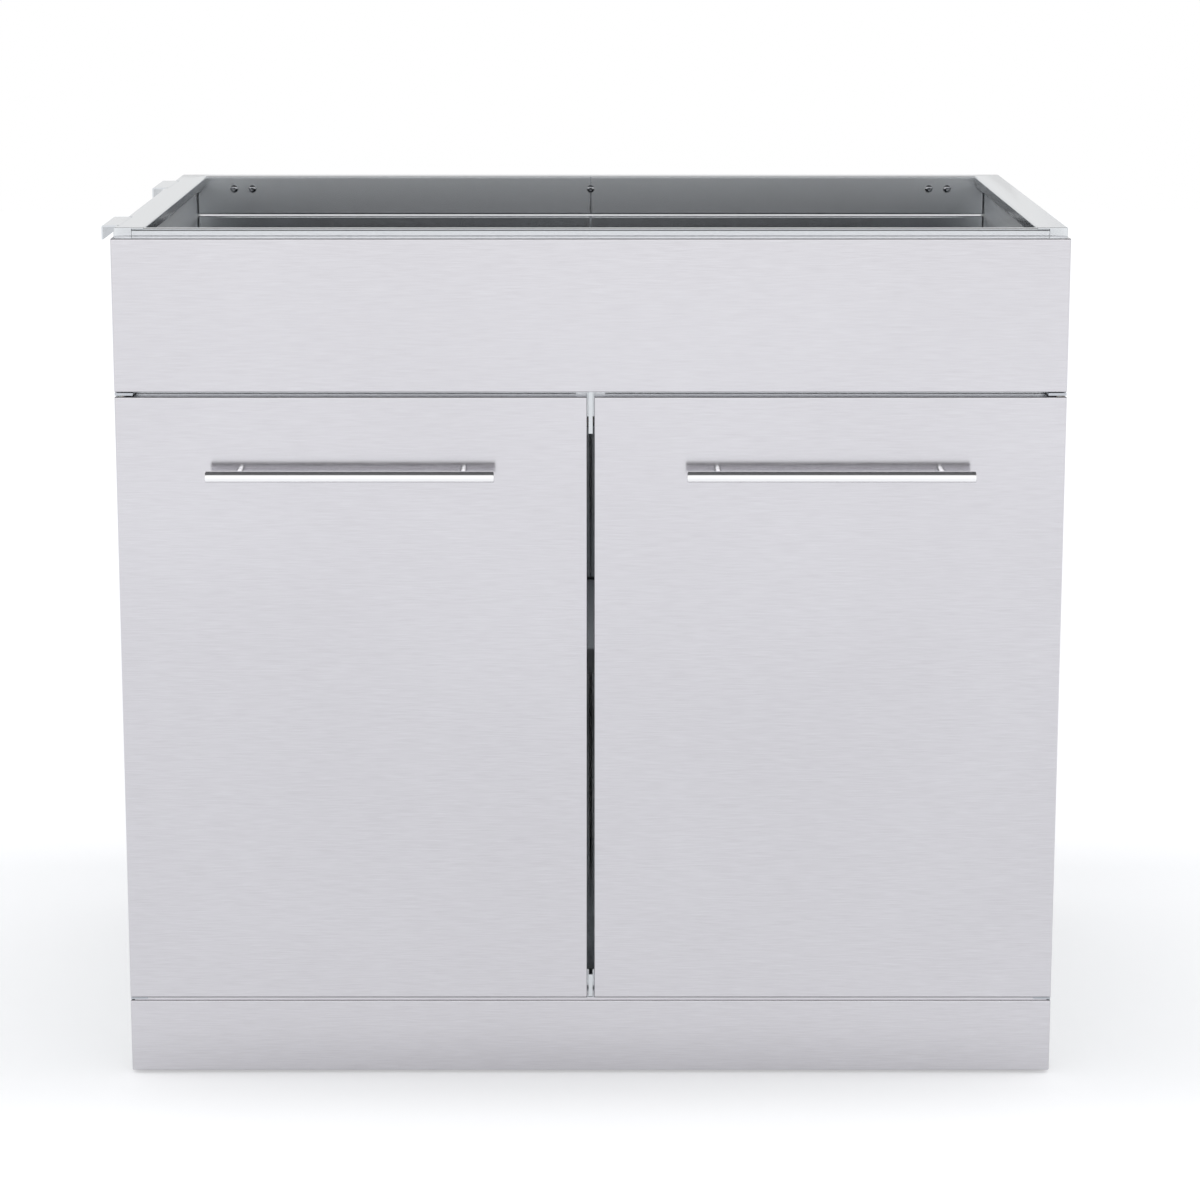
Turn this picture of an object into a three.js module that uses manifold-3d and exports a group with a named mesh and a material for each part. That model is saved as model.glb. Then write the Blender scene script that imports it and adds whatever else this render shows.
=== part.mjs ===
// Double door base cupboard folded from stainless sheet, in millimetres with +Z up.
// The doors face -Y and X runs to the right as seen from the front.
// Pieces are drawn with the door faces at y = 0 and the floor at z = 0.

import * as THREE from 'three';
import { mergeVertices } from 'three/addons/utils/BufferGeometryUtils.js';
import Module from 'manifold-3d';

const wasm = await Module();
wasm.setup();

// Overall size
const cabinetWidth = 900;
const cabinetHeight = 830;
const cabinetDepth = 570;

// Sheet and folds
const sheet = 1.2;
const foldRadius = 2;
const foldSteps = 3;
const trayCornerRadius = 2.5;
const cornerRadius = 3;
const fit = 0.3;
const weldTolerance = 0.001;
const arcSegmentsPerCount = 2;
const cutMargin = 5;

// Fronts: doors, fascia and plinth share one thickness and one plane
const frontThickness = 20;
const frontClearance = 3;
const floorGap = 3;
const plinthHeight = 72;
const doorGapBelow = 3;
const doorGapAbove = 4.5;
const doorGapMiddle = 7;
const fasciaHeight = 145.5;
const fasciaDrop = 8;

// Door liner and its strike plate
const doorLinerDepth = 8;
const strikeWidth = 38;
const strikeHeight = 14;
const strikeThickness = 0.8;
const strikeInset = 14;

// Side panels
const sidePanelThickness = 19;
const sideFlangeWidth = 17;
const sideTopFlangeWidth = 28.5;
const sideLipHeight = 10;
const sideLinerDrop = 6;

// Rear wall
const rearFlangeDepth = 25;
const rearRailHeight = 41.5;
const rearSeamGap = 2;
const rearHalfGap = 0.6;

// Front rails
const railDepth = 22;
const railLipHeight = 10;
const railFold = 1.6;
const topRailHeight = 51;
const topRailDrop = 3.6;
const joggleHeight = 2.4;
const joggleRun = 4;
const joggleFold = 0.9;
const topRailFlange = 8;
const midRailHeight = 40;
const midRailRise = 18.5;

// Floor panel and shelf
const floorPanelHeight = 40;
const shelfThickness = 25;
const shelfTop = 380;
const shelfFrontInset = 180;
const shelfRearInset = 6;
const shelfSideClearance = 2;

// Shelf supports and the holes that they plug into
const supportHoleRadius = 2.8;
const supportPegRadius = 2.5;
const supportPegLength = 8;
const supportWidth = 16;
const supportHeight = 10;
const supportReach = 14;
const supportInset = 40;
const supportHoleRows = 3;
const supportHolePitch = 64;
const supportHoleDrop = 5;

// Bar handles
const handleLength = 272;
const handleRadius = 5.5;
const handleEndRound = 1.2;
const handleReach = 26;
const handleDrop = 72;
const postInset = 30;
const postRadius = 3.5;

// Pivot hinges at the top and bottom of each door
const pivotInset = 6;
const pivotPinRadius = 2.5;
const pivotBoreRadius = 2.8;
const pivotBushRadius = 4.3;
const pivotBushLength = 16;
const pivotBushDrop = 2.6;
const pivotCollarRadius = 3.7;
const pivotPinReach = 15;
const topPlateThickness = 2.5;
const bottomPlateThickness = 1.8;
const pivotPlateWidth = 17;
const pivotTabHeight = 20;

// Door stops in the middle
const finThickness = 3.8;
const finFrontInset = 4;
const topFinLength = 40;
const bottomFinLength = 25;
const stopPlateWidth = 28;
const stopPlateHeight = 26;

// Double magnetic catch
const catchWidth = 84;
const catchHeight = 15;
const catchDepth = 24;

// Brackets behind the fascia and the plinth
const bracketThickness = 2;
const bracketWidth = 40;
const bracketInset = 65;
const plinthBracketDrop = 26;

// Joining hooks on the left side
const hookSheet = 1.5;
const hookReach = 14;
const hookLipHeight = 13.5;
const hookLength = 80;
const hookTongue = 26;
const hookStepRun = 2.5;
const hookRelief = 3;
const hookFold = 1.2;
const hookStarts = { front: 43, rear: 418 };

// Levelling feet
const footInsetX = 45;
const footInsetFront = 60;
const footInsetRear = 50;
const footPadRadius = 20;
const footPadHeight = 7;
const footPadRound = 1.5;
const footNeckRadius = 8;
const footStudRadius = 5;
const footStudLength = 38;
const footFloorClearance = 0.5;
const footPlateHeight = 24;
const footPlateThickness = 2.5;
const footPlateWidth = 50;
const footFlangeHeight = 12;
const footNutRadius = 9.8;
const footNutHeight = 8;
const footHoleRadius = 5.3;

// Facets of round pieces
const handleFacets = 18;
const pinFacets = 12;
const holeFacets = 12;
const footFacets = 16;
const nutFacets = 6;

// Planes and edges worked out from the sizes above
const halfWidth = cabinetWidth / 2;
const frameFront = frontThickness + frontClearance;
const sideInner = halfWidth - sidePanelThickness;
const stileEdge = halfWidth - sideFlangeWidth;
const topFlangeEdge = halfWidth - sideTopFlangeWidth;
const betweenLiners = sideInner - fit;
const plinthTop = floorGap + plinthHeight;
const doorBottom = plinthTop + doorGapBelow;
const fasciaTop = cabinetHeight - fasciaDrop;
const fasciaBottom = fasciaTop - fasciaHeight;
const doorTop = fasciaBottom - doorGapAbove;
const topRailTop = cabinetHeight - topRailDrop;
const midRailTop = fasciaBottom + midRailRise;
const midRailBottom = midRailTop - midRailHeight;
const rearRailFront = cabinetDepth - rearFlangeDepth;
const rearRailBottom = cabinetHeight - rearRailHeight;
const shelfBottom = shelfTop - shelfThickness;
const pivotX = halfWidth - pivotInset;
const behindFronts = frontThickness + fit;
const beforeFrame = frameFront - fit;

// Finishes
function metal(color, roughness) {
  return new THREE.MeshStandardMaterial({ color, roughness, metalness: 1 });
}

function plastic(color, roughness) {
  return new THREE.MeshStandardMaterial({ color, roughness, metalness: 0 });
}

const finishes = {
  rolled: () => metal(0xc9ccd0, 0.4),
  brushed: () => metal(0xd8d8dc, 0.35),
  polished: () => metal(0xe6e6e8, 0.08),
  zinc: () => metal(0xb4b6ba, 0.4),
  nylon: () => plastic(0xe9e8e2, 0.5),
};

// Solids that can be joined and cut
function toSolid(geometry) {
  const bare = geometry.clone();
  bare.deleteAttribute('normal');
  bare.deleteAttribute('uv');
  const merged = mergeVertices(bare, weldTolerance);
  const mesh = new wasm.Mesh({
    numProp: 3,
    vertProperties: new Float32Array(merged.attributes.position.array),
    triVerts: new Uint32Array(merged.index.array),
  });
  return new wasm.Manifold(mesh);
}

function toGeometry(solid) {
  const mesh = solid.getMesh();
  const geometry = new THREE.BufferGeometry();
  geometry.setAttribute('position', new THREE.BufferAttribute(new Float32Array(mesh.vertProperties), 3));
  geometry.setIndex(new THREE.BufferAttribute(new Uint32Array(mesh.triVerts), 1));
  return geometry;
}

function cut(geometry, ...tools) {
  let solid = toSolid(geometry);
  for (const tool of tools) {
    solid = solid.subtract(toSolid(tool));
  }
  return toGeometry(solid);
}

function join(geometry, ...others) {
  let solid = toSolid(geometry);
  for (const other of others) {
    solid = solid.add(toSolid(other));
  }
  return toGeometry(solid);
}

// Block given by its lowest and highest corners
function block(low, high) {
  const size = high.map((value, i) => value - low[i]);
  const centre = high.map((value, i) => (value + low[i]) / 2);
  return new THREE.BoxGeometry(...size).translate(...centre);
}

// Round rod or hole along one axis, from its middle point
function rod(radius, length, facets, axis, centre) {
  const geometry = new THREE.CylinderGeometry(radius, radius, length, facets);
  if (axis === 'x') {
    geometry.rotateZ(Math.PI / 2);
  }
  if (axis === 'z') {
    geometry.rotateX(Math.PI / 2);
  }
  return geometry.translate(...centre);
}

// Copy on the other side of the cabinet's middle plane
function mirrored(geometry) {
  const copy = toGeometry(toSolid(geometry)).scale(-1, 1, 1);
  const order = copy.index.array;
  for (let i = 0; i < order.length; i += 3) {
    [order[i], order[i + 1]] = [order[i + 1], order[i]];
  }
  return copy;
}

// Block with rounded corners seen face on and a rounded front edge, its face at z = 0
function cushionedBlock(width, height, depth, corner, round, steps) {
  const x = width / 2;
  const y = height / 2;
  const outline = new THREE.Shape();
  outline.absarc(x - corner, y - corner, corner, 0, Math.PI / 2);
  outline.absarc(corner - x, y - corner, corner, Math.PI / 2, Math.PI);
  outline.absarc(corner - x, corner - y, corner, Math.PI, Math.PI * 1.5);
  outline.absarc(x - corner, corner - y, corner, Math.PI * 1.5, Math.PI * 2);
  const geometry = new THREE.ExtrudeGeometry(outline, {
    depth,
    curveSegments: steps / arcSegmentsPerCount,
    bevelEnabled: true,
    bevelThickness: round,
    bevelSize: round,
    bevelOffset: -round,
    bevelSegments: steps,
  });
  return geometry.translate(0, 0, round);
}

// Turns that bring a face at z = 0, with its body above, round to look the named way
const facings = {
  front: (geometry) => geometry.rotateX(-Math.PI / 2),
  top: (geometry) => geometry.rotateX(Math.PI),
  right: (geometry) => geometry.rotateY(-Math.PI / 2),
  left: (geometry) => geometry.rotateY(Math.PI / 2),
};

// Folded tray between two corners: a face that looks the named way, with flanges all round
function tray(low, high, facing, corner = trayCornerRadius) {
  const size = high.map((value, i) => value - low[i]);
  const spans = {
    front: [size[0], size[2], size[1]],
    top: [size[0], size[1], size[2]],
    right: [size[2], size[1], size[0]],
    left: [size[2], size[1], size[0]],
  };
  const [width, height, depth] = spans[facing];
  const inner = foldRadius - sheet;
  const outside = cushionedBlock(width, height, depth, corner, foldRadius, foldSteps);
  const inside = cushionedBlock(
    width - sheet * 2, height - sheet * 2, depth, corner - sheet, inner, foldSteps - 1,
  ).translate(0, 0, sheet);
  const reach = depth + foldRadius * 4;
  const beyond = block([-width, -height, depth], [width, height, reach]);
  const pan = cut(outside, inside, beyond);
  facings[facing](pan);
  const centre = high.map((value, i) => (value + low[i]) / 2);
  const offset = {
    front: [centre[0], low[1], centre[2]],
    top: [centre[0], centre[1], high[2]],
    right: [high[0], centre[1], centre[2]],
    left: [low[0], centre[1], centre[2]],
  };
  return pan.translate(...offset[facing]);
}

// Points and headings along a path whose folds are rounded
function roundedPath(path, radius) {
  const points = path.map(([x, y]) => new THREE.Vector2(x, y));
  const stops = [];
  points.forEach((point, i) => {
    const before = i > 0 ? point.clone().sub(points[i - 1]) : null;
    const after = i < points.length - 1 ? points[i + 1].clone().sub(point) : null;
    if (!before || !after) {
      stops.push({ point, heading: (before || after).angle() });
      return;
    }
    const heading = before.angle();
    const turn = Math.atan2(before.cross(after), before.dot(after));
    const setback = radius * Math.tan(Math.abs(turn) / 2);
    const start = point.clone().sub(before.setLength(setback));
    const side = heading + Math.sign(turn) * Math.PI / 2;
    const inward = new THREE.Vector2(Math.cos(side), Math.sin(side));
    const centre = start.clone().addScaledVector(inward, radius);
    for (let step = 0; step <= foldSteps; step += 1) {
      const turned = turn * step / foldSteps;
      stops.push({
        point: start.clone().rotateAround(centre, turned),
        heading: heading + turned,
      });
    }
  });
  return stops;
}

// Closed outline of folded sheet from the path along the middle of its thickness
function foldedOutline(path, thickness, radius) {
  const stops = roundedPath(path, radius);
  const edge = (side) => stops.map(({ point, heading }) => new THREE.Vector2(
    point.x - Math.sin(heading) * side,
    point.y + Math.cos(heading) * side,
  ));
  return new THREE.Shape([...edge(thickness / 2), ...edge(-thickness / 2).reverse()]);
}

// Folded section in the YZ plane, drawn out along X
function stripAlongX(path, thickness, radius, from, to) {
  const outline = foldedOutline(path, thickness, radius);
  const geometry = new THREE.ExtrudeGeometry(outline, { depth: to - from, bevelEnabled: false });
  const turn = new THREE.Matrix4().makeBasis(
    new THREE.Vector3(0, 1, 0),
    new THREE.Vector3(0, 0, 1),
    new THREE.Vector3(1, 0, 0),
  );
  return geometry.applyMatrix4(turn).translate(from, 0, 0);
}

// Folded section in the XZ plane, drawn out along Y
function stripAlongY(path, thickness, radius, from, to) {
  const outline = foldedOutline(path, thickness, radius);
  const geometry = new THREE.ExtrudeGeometry(outline, { depth: to - from, bevelEnabled: false });
  return geometry.rotateX(Math.PI / 2).translate(0, to, 0);
}

const cupboard = new THREE.Group();
cupboard.position.set(hookReach / 2, (handleReach + handleRadius - cabinetDepth) / 2, 0);

function add(name, finish, geometry) {
  const piece = new THREE.Mesh(geometry, finishes[finish]());
  piece.name = name;
  cupboard.add(piece);
  return piece;
}

const sides = { left: mirrored, right: (geometry) => geometry };

// Side panel: one folded sheet with a narrow stile, a wide top flange and a lip inside it
function sidePanel() {
  const skin = tray([topFlangeEdge, frameFront, 0], [halfWidth, cabinetDepth, cabinetHeight], 'right');
  const flangeUnderside = cabinetHeight - foldRadius;
  const narrowed = block(
    [topFlangeEdge - cutMargin, frameFront - cutMargin, -cutMargin],
    [stileEdge, cabinetDepth + cutMargin, flangeUnderside],
  );
  const lipFront = frameFront + joggleRun + foldRadius;
  const lipRear = rearRailFront - fit;
  const edgeForLip = block(
    [topFlangeEdge - cutMargin, lipFront, flangeUnderside - fit],
    [topFlangeEdge + foldRadius * 2, lipRear, cabinetHeight + cutMargin],
  );
  const middle = sheet / 2;
  const lip = stripAlongY(
    [
      [stileEdge, cabinetHeight - middle],
      [topFlangeEdge + middle, cabinetHeight - middle],
      [topFlangeEdge + middle, cabinetHeight - sideLipHeight],
    ],
    sheet, railFold, lipFront, lipRear,
  );
  return join(cut(skin, narrowed, edgeForLip), lip);
}

// Notches in the left panel's top fold where the joining hooks come out
function hookNotches() {
  return Object.values(hookStarts).map((start) => block(
    [-halfWidth - cutMargin, start - hookRelief, cabinetHeight - hookSheet - fit],
    [-halfWidth + hookStepRun * 2 + fit, start + hookLength + fit, cabinetHeight + cutMargin],
  ));
}

add('side_panel_right', 'rolled', sidePanel());
add('side_panel_left', 'rolled', cut(mirrored(sidePanel()), ...hookNotches()));

// Side liner: the inner skin, nested in the panel, with rows of holes for the shelf supports
const supportPlaces = [
  frameFront + shelfFrontInset + supportInset,
  rearRailFront - shelfRearInset - supportInset,
];

function sideLiner() {
  const skin = tray(
    [sideInner, frameFront + sheet + fit, sheet + fit],
    [halfWidth - sheet - fit, cabinetDepth - sheet - fit, cabinetHeight - sideLinerDrop],
    'left',
  );
  const holes = [];
  for (const y of supportPlaces) {
    for (let row = 0; row < supportHoleRows; row += 1) {
      const z = shelfBottom - supportHoleDrop + (row - 1) * supportHolePitch;
      holes.push(rod(supportHoleRadius, sidePanelThickness, holeFacets, 'x', [sideInner, y, z]));
    }
  }
  return cut(skin, ...holes);
}

for (const [side, place] of Object.entries(sides)) {
  add(`side_liner_${side}`, 'rolled', place(sideLiner()));
}

// Rear wall: top rail and back panel in two halves that meet in the middle
for (const [side, place] of Object.entries(sides)) {
  const rail = tray(
    [rearHalfGap / 2, rearRailFront, rearRailBottom],
    [betweenLiners, cabinetDepth - sheet - fit, cabinetHeight],
    'front',
  );
  const underFlange = block(
    [topFlangeEdge - fit, rearRailFront - cutMargin, cabinetHeight - sideLinerDrop + fit],
    [halfWidth, cabinetDepth, cabinetHeight + cutMargin],
  );
  add(`back_top_rail_${side}`, 'rolled', place(cut(rail, underFlange)));
  const back = tray(
    [rearHalfGap / 2, rearRailFront + sheet, floorGap],
    [betweenLiners, cabinetDepth - sheet - fit, rearRailBottom - rearSeamGap],
    'front',
  );
  add(`back_panel_${side}`, 'rolled', place(back));
}

// Front top rail: a channel with a joggled edge, wider in front of the liners than between them
const middleFront = frameFront + sheet / 2;
const topRailMiddle = topRailTop - sheet / 2;
const topRailBottom = topRailTop - topRailHeight + sheet / 2;
const railEnd = stileEdge - fit;
const behindWeb = frameFront + sheet + fit;

function fittedBetweenSides(rail, top) {
  const tools = [];
  for (const place of Object.values(sides)) {
    tools.push(place(block(
      [betweenLiners, behindWeb - fit, 0],
      [halfWidth, frameFront + railDepth * 2, top],
    )));
  }
  return cut(rail, ...tools);
}

const topRail = stripAlongX(
  [
    [frameFront + railDepth, topRailBottom + railLipHeight],
    [frameFront + railDepth, topRailBottom],
    [middleFront, topRailBottom],
    [middleFront, topRailMiddle],
    [middleFront + joggleRun, topRailMiddle],
    [middleFront + joggleRun, topRailMiddle + joggleHeight],
    [middleFront + joggleRun + topRailFlange, topRailMiddle + joggleHeight],
  ],
  sheet, joggleFold, -railEnd, railEnd,
);
const besideFlanges = Object.values(sides).map((place) => place(block(
  [topFlangeEdge - fit, frameFront + joggleRun - fit, topRailTop - sheet - fit * 2],
  [halfWidth, frameFront + railDepth * 2, cabinetHeight + cutMargin],
)));
add('front_top_rail', 'rolled', cut(fittedBetweenSides(topRail, cabinetHeight), ...besideFlanges));

// Front mid rail: a plain channel behind the slot between the fascia and the doors
const midRail = stripAlongX(
  [
    [frameFront + railDepth, midRailBottom + railLipHeight],
    [frameFront + railDepth, midRailBottom + sheet / 2],
    [middleFront, midRailBottom + sheet / 2],
    [middleFront, midRailTop - sheet / 2],
    [frameFront + railDepth, midRailTop - sheet / 2],
  ],
  sheet, railFold, -railEnd, railEnd,
);
add('front_mid_rail', 'rolled', fittedBetweenSides(midRail, cabinetHeight));

// Floor panel between the liners
add('floor_panel', 'rolled', tray(
  [-betweenLiners, frameFront, doorBottom - floorPanelHeight],
  [betweenLiners, rearRailFront + sheet - fit, doorBottom],
  'top',
));

// Plinth and fascia panels in the plane of the doors
add('plinth_panel', 'brushed', tray(
  [-halfWidth, 0, floorGap], [halfWidth, frontThickness, plinthTop], 'front', cornerRadius,
));
add('fascia_panel', 'brushed', tray(
  [-halfWidth, 0, fasciaBottom], [halfWidth, frontThickness, fasciaTop], 'front', cornerRadius,
));

// Brackets that hold the plinth and the fascia to the frame behind them
const bracketLow = halfWidth - bracketInset - bracketWidth / 2;
const bracketHigh = bracketLow + bracketWidth;
const bracketMiddle = beforeFrame - bracketThickness / 2;
const bracketLeg = foldRadius + sheet;

for (const [side, place] of Object.entries(sides)) {
  const underPlinthTop = plinthTop - sheet - fit - bracketThickness / 2;
  add(`plinth_bracket_${side}`, 'zinc', place(stripAlongX(
    [
      [bracketLeg, underPlinthTop],
      [bracketMiddle, underPlinthTop],
      [bracketMiddle, plinthTop - plinthBracketDrop],
    ],
    bracketThickness, railFold, bracketLow, bracketHigh,
  )));
  const underFasciaTop = fasciaTop - sheet - fit - bracketThickness / 2;
  const aboveFasciaBottom = fasciaBottom + sheet + fit + bracketThickness / 2;
  add(`fascia_bracket_${side}`, 'zinc', place(stripAlongX(
    [
      [bracketLeg, underFasciaTop],
      [bracketMiddle, underFasciaTop],
      [bracketMiddle, aboveFasciaBottom],
      [bracketLeg, aboveFasciaBottom],
    ],
    bracketThickness, railFold, bracketLow, bracketHigh,
  )));
}

// Doors: a folded skin and a liner nested in it
const doorInnerEdge = doorGapMiddle / 2;
const nest = sheet + fit;
const linerBack = frontThickness - fit;
const pivotCollarHole = pivotCollarRadius + fit;

for (const [side, place] of Object.entries(sides)) {
  const skin = tray(
    [doorInnerEdge, 0, doorBottom], [halfWidth, frontThickness, doorTop], 'front', cornerRadius,
  );
  const pivotHoles = [doorBottom, doorTop].map((z) => rod(
    pivotCollarHole, foldRadius * 4, holeFacets, 'z', [pivotX, pivotInset, z],
  ));
  add(`door_skin_${side}`, 'brushed', place(cut(skin, ...pivotHoles)));

  const liner = tray(
    [doorInnerEdge + nest, frontThickness - linerBack, doorBottom + nest],
    [halfWidth - nest, frontThickness - linerBack + doorLinerDepth, doorTop - nest],
    'front', cornerRadius - sheet / 2,
  );
  liner.rotateZ(Math.PI);
  liner.translate(doorInnerEdge + halfWidth, frontThickness, 0);
  add(`door_liner_${side}`, 'rolled', place(liner));

  const strike = block(
    [strikeInset, linerBack + fit, doorTop - nest - strikeInset * 2 - strikeHeight],
    [strikeInset + strikeWidth, linerBack + fit + strikeThickness, doorTop - nest - strikeInset * 2],
  );
  add(`strike_plate_${side}`, 'zinc', place(strike));
}

// Bar handles on two posts each
const handleX = (doorInnerEdge + halfWidth) / 2;
const handleHeight = doorTop - handleDrop;
const postOffset = handleLength / 2 - postInset;

function handleBar() {
  const half = handleLength / 2;
  const round = handleEndRound;
  const profile = new THREE.Path();
  profile.moveTo(0, -half);
  profile.lineTo(handleRadius - round, -half);
  profile.absarc(handleRadius - round, round - half, round, -Math.PI / 2, 0);
  profile.absarc(handleRadius - round, half - round, round, 0, Math.PI / 2);
  profile.lineTo(0, half);
  const geometry = new THREE.LatheGeometry(profile.getPoints(foldSteps / arcSegmentsPerCount), handleFacets);
  return toGeometry(toSolid(geometry.rotateZ(Math.PI / 2).translate(handleX, -handleReach, handleHeight)));
}

function handlePost(offset) {
  const x = handleX + offset;
  const length = handleReach - fit;
  const stem = rod(postRadius, length, pinFacets, 'y', [x, -fit - length / 2, handleHeight]);
  const seat = rod(handleRadius + fit, postRadius * 4, handleFacets, 'x', [x, -handleReach, handleHeight]);
  return cut(stem, seat);
}

for (const [side, place] of Object.entries(sides)) {
  add(`handle_bar_${side}`, 'polished', place(handleBar()));
  add(`handle_post_inner_${side}`, 'polished', place(handlePost(-postOffset)));
  add(`handle_post_outer_${side}`, 'polished', place(handlePost(postOffset)));
}

// Pivot hinges: a bracket on the frame, its pin, and a bush inside the door
function pivotBracket(level, plateZ, thickness) {
  const up = level === 'top' ? 1 : -1;
  const tabEnd = plateZ + up * pivotTabHeight;
  const plate = stripAlongX(
    [
      [pivotInset - pivotBushRadius, plateZ],
      [beforeFrame - thickness / 2, plateZ],
      [beforeFrame - thickness / 2, tabEnd],
    ],
    thickness, railFold, halfWidth - fit - pivotPlateWidth, halfWidth - fit,
  );
  const hole = rod(pivotBoreRadius, thickness * 3, holeFacets, 'z', [pivotX, pivotInset, plateZ]);
  return cut(plate, hole);
}

function pivotBush(level, plateZ, thickness) {
  const up = level === 'top' ? 1 : -1;
  const edge = level === 'top' ? doorTop : doorBottom;
  const bodyNear = edge - up * pivotBushDrop;
  const bodyMiddle = bodyNear - up * pivotBushLength / 2;
  const body = rod(pivotBushRadius, pivotBushLength, holeFacets, 'z', [pivotX, pivotInset, bodyMiddle]);
  const collarEnd = plateZ - up * (thickness / 2 + fit);
  const collar = rod(pivotCollarRadius, Math.abs(collarEnd - bodyMiddle), holeFacets, 'z', [
    pivotX, pivotInset, (collarEnd + bodyMiddle) / 2,
  ]);
  const bore = rod(pivotBoreRadius, pivotBushLength * 4, holeFacets, 'z', [pivotX, pivotInset, edge]);
  return cut(join(body, collar), bore);
}

const topPlateZ = (doorTop + fasciaBottom) / 2;
const bottomPlateZ = (plinthTop + doorBottom) / 2;
const pivotLevels = {
  top: { plateZ: topPlateZ, thickness: topPlateThickness, reach: -pivotPinReach },
  bottom: { plateZ: bottomPlateZ, thickness: bottomPlateThickness, reach: pivotPinReach },
};

for (const [side, place] of Object.entries(sides)) {
  for (const [level, { plateZ, thickness, reach }] of Object.entries(pivotLevels)) {
    add(`pivot_bracket_${level}_${side}`, 'zinc', place(pivotBracket(level, plateZ, thickness)));
    const pinStart = plateZ - Math.sign(reach) * thickness / 2;
    const pinEnd = plateZ + reach;
    const pin = rod(pivotPinRadius, Math.abs(pinEnd - pinStart), pinFacets, 'z', [
      pivotX, pivotInset, (pinStart + pinEnd) / 2,
    ]);
    add(`pivot_pin_${level}_${side}`, 'zinc', place(pin));
    add(`pivot_bush_${level}_${side}`, 'nylon', place(pivotBush(level, plateZ, thickness)));
  }
}

// Door stops: a thin fin in the gap between the doors on a plate that the doors close against
function doorStop(finLow, finHigh, plateLow, plateHigh) {
  const finHalf = finThickness / 2;
  const plateHalf = stopPlateWidth / 2;
  const fin = block([-finHalf, finFrontInset, finLow], [finHalf, beforeFrame, finHigh]);
  const plate = block([-plateHalf, behindFronts, plateLow], [plateHalf, beforeFrame, plateHigh]);
  return join(fin, plate);
}

add('door_stop_top', 'rolled', doorStop(
  fasciaBottom - fit - topFinLength, fasciaBottom - fit,
  fasciaBottom - fit - stopPlateHeight, fasciaBottom - fit,
));
add('door_stop_bottom', 'rolled', doorStop(
  plinthTop + fit, plinthTop + bottomFinLength, doorBottom - stopPlateHeight, plinthTop + bottomFinLength,
));

// Double magnetic catch under the mid rail
const catchFront = linerBack + fit * 2 + strikeThickness;
const magneticCatch = block(
  [-catchWidth / 2, catchFront, midRailBottom - fit - catchHeight],
  [catchWidth / 2, catchFront + catchDepth, midRailBottom - fit],
);
const behindTopStop = block(
  [-stopPlateWidth / 2 - fit, catchFront - cutMargin, midRailBottom - catchHeight * 2],
  [stopPlateWidth / 2 + fit, beforeFrame + fit, midRailBottom + cutMargin],
);
add('magnetic_catch', 'nylon', cut(magneticCatch, behindTopStop));

// Shelf and its supports
add('shelf', 'rolled', tray(
  [shelfSideClearance - betweenLiners, frameFront + shelfFrontInset, shelfBottom],
  [betweenLiners - shelfSideClearance, rearRailFront - shelfRearInset, shelfTop],
  'top',
));

const supportNames = ['front', 'rear'];
for (const [side, place] of Object.entries(sides)) {
  supportPlaces.forEach((y, i) => {
    const top = shelfBottom - fit;
    const pad = block(
      [betweenLiners - supportReach, y - supportWidth / 2, top - supportHeight],
      [betweenLiners, y + supportWidth / 2, top],
    );
    const peg = rod(supportPegRadius, supportPegLength + supportReach / 2, pinFacets, 'x', [
      betweenLiners + supportPegLength / 2 - supportReach / 4, y, shelfBottom - supportHoleDrop,
    ]);
    add(`shelf_support_${supportNames[i]}_${side}`, 'nylon', place(join(pad, peg)));
  });
}

// Joining hooks: strips that lie under the left top flange, step up through its notch and fold down
const hookTop = cabinetHeight - hookSheet / 2;
const hookUnder = cabinetHeight - sheet - fit - hookSheet / 2;
for (const [place, start] of Object.entries(hookStarts)) {
  const lipX = -halfWidth - hookReach + hookSheet / 2;
  add(`joining_hook_${place}`, 'rolled', stripAlongY(
    [
      [lipX, cabinetHeight - hookLipHeight],
      [lipX, hookTop],
      [-halfWidth + hookStepRun, hookTop],
      [-halfWidth + hookStepRun * 2, hookUnder],
      [-halfWidth + hookTongue, hookUnder],
    ],
    hookSheet, hookFold, start, start + hookLength,
  ));
}

// Levelling feet on angle brackets inside the base
const footPlaces = {
  front: frameFront + footInsetFront,
  rear: rearRailFront - footInsetRear,
};
const footX = halfWidth - footInsetX;

function footBracket(y) {
  const low = [footX - footPlateWidth / 2, y - footPlateWidth / 2, footPlateHeight];
  const plate = block(low, [betweenLiners, y + footPlateWidth / 2, footPlateHeight + footPlateThickness]);
  const flange = block(
    [betweenLiners - footPlateThickness, y - footPlateWidth / 2, footPlateHeight],
    [betweenLiners, y + footPlateWidth / 2, footPlateHeight + footFlangeHeight],
  );
  const nut = rod(footNutRadius, footNutHeight + footPlateThickness, nutFacets, 'z', [
    footX, y, footPlateHeight + (footNutHeight + footPlateThickness) / 2,
  ]);
  const hole = rod(footHoleRadius, footNutHeight * 6, holeFacets, 'z', [footX, y, footPlateHeight]);
  return cut(join(plate, flange, nut), hole);
}

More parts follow.
